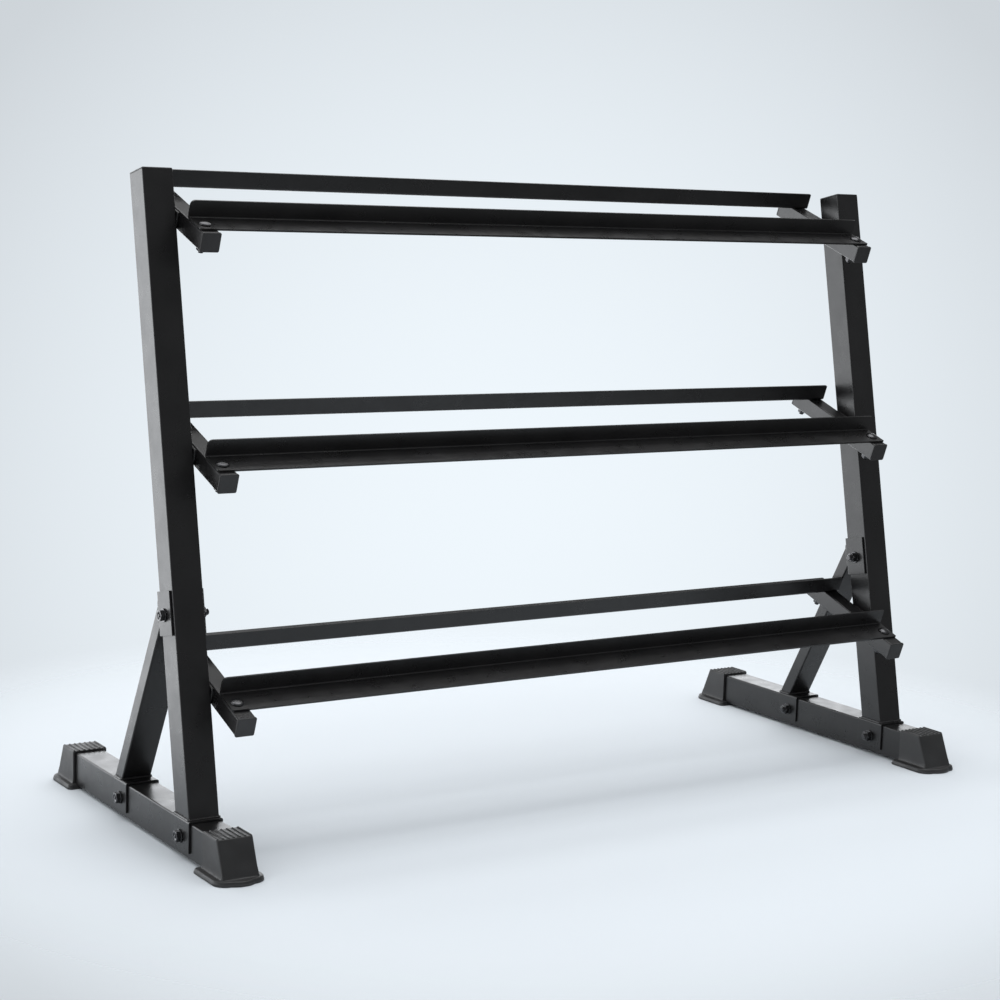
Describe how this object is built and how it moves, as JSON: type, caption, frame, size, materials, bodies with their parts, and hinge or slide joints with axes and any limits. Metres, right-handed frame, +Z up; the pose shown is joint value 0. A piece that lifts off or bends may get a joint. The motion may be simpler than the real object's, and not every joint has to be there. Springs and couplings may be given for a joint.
{
  "type": "dumbbell rack",
  "caption": "Freestanding tiered dumbbell rack of black steel tube with leaning braced uprights and tilted angle-steel rails.",
  "frame": {"origin": "on the floor at the centre of the footprint", "axes": "+X along the rails to the right of someone facing the front, +Y to the back, +Z up"},
  "size_m": [1.47, 0.684, 1.0302],
  "materials": {
    "black_powder_coat": "satin black powder coat with a fine texture",
    "black_plastic": "matt moulded plastic",
    "foot_rubber": "matt moulded rubber",
    "black_zinc": "black zinc plate, semi-bright"
  },
  "bodies": {
    "root": {"left_base_tube": "black_powder_coat", "left_front_foot": "foot_rubber", "left_rear_foot": "foot_rubber", "left_front_saddle": "black_powder_coat", "left_front_saddle_bolt": "black_zinc", "left_rear_saddle": "black_powder_coat", "left_rear_saddle_bolt": "black_zinc", "left_upright": "black_powder_coat", "left_upright_cap": "black_plastic", "left_brace_bracket": "black_powder_coat", "left_brace_bracket_bolt": "black_zinc", "left_brace": "black_powder_coat", "right_base_tube": "black_powder_coat", "right_front_foot": "foot_rubber", "right_rear_foot": "foot_rubber", "right_front_saddle": "black_powder_coat", "right_front_saddle_bolt": "black_zinc", "right_rear_saddle": "black_powder_coat", "right_rear_saddle_bolt": "black_zinc", "right_upright": "black_powder_coat", "right_upright_cap": "black_plastic", "right_brace_bracket": "black_powder_coat", "right_brace_bracket_bolt": "black_zinc", "right_brace": "black_powder_coat", "left_bottom_arm": "black_powder_coat", "left_bottom_arm_front_cap": "black_plastic", "left_bottom_arm_rear_cap": "black_plastic", "right_bottom_arm": "black_powder_coat", "right_bottom_arm_front_cap": "black_plastic", "right_bottom_arm_rear_cap": "black_plastic", "bottom_front_rail": "black_powder_coat", "bottom_front_rail_left_bolt": "black_zinc", "bottom_front_rail_right_bolt": "black_zinc", "bottom_rear_rail": "black_powder_coat", "bottom_rear_rail_left_bolt": "black_zinc", "bottom_rear_rail_right_bolt": "black_zinc", "left_middle_arm": "black_powder_coat", "left_middle_arm_front_cap": "black_plastic", "left_middle_arm_rear_cap": "black_plastic", "right_middle_arm": "black_powder_coat", "right_middle_arm_front_cap": "black_plastic", "right_middle_arm_rear_cap": "black_plastic", "middle_front_rail": "black_powder_coat", "middle_front_rail_left_bolt": "black_zinc", "middle_front_rail_right_bolt": "black_zinc", "middle_rear_rail": "black_powder_coat", "middle_rear_rail_left_bolt": "black_zinc", "middle_rear_rail_right_bolt": "black_zinc", "left_top_arm": "black_powder_coat", "left_top_arm_front_cap": "black_plastic", "left_top_arm_rear_cap": "black_plastic", "right_top_arm": "black_powder_coat", "right_top_arm_front_cap": "black_plastic", "right_top_arm_rear_cap": "black_plastic", "top_front_rail": "black_powder_coat", "top_front_rail_left_bolt": "black_zinc", "top_front_rail_right_bolt": "black_zinc", "top_rear_rail": "black_powder_coat", "top_rear_rail_left_bolt": "black_zinc", "top_rear_rail_right_bolt": "black_zinc"}
  },
  "joints": []
}
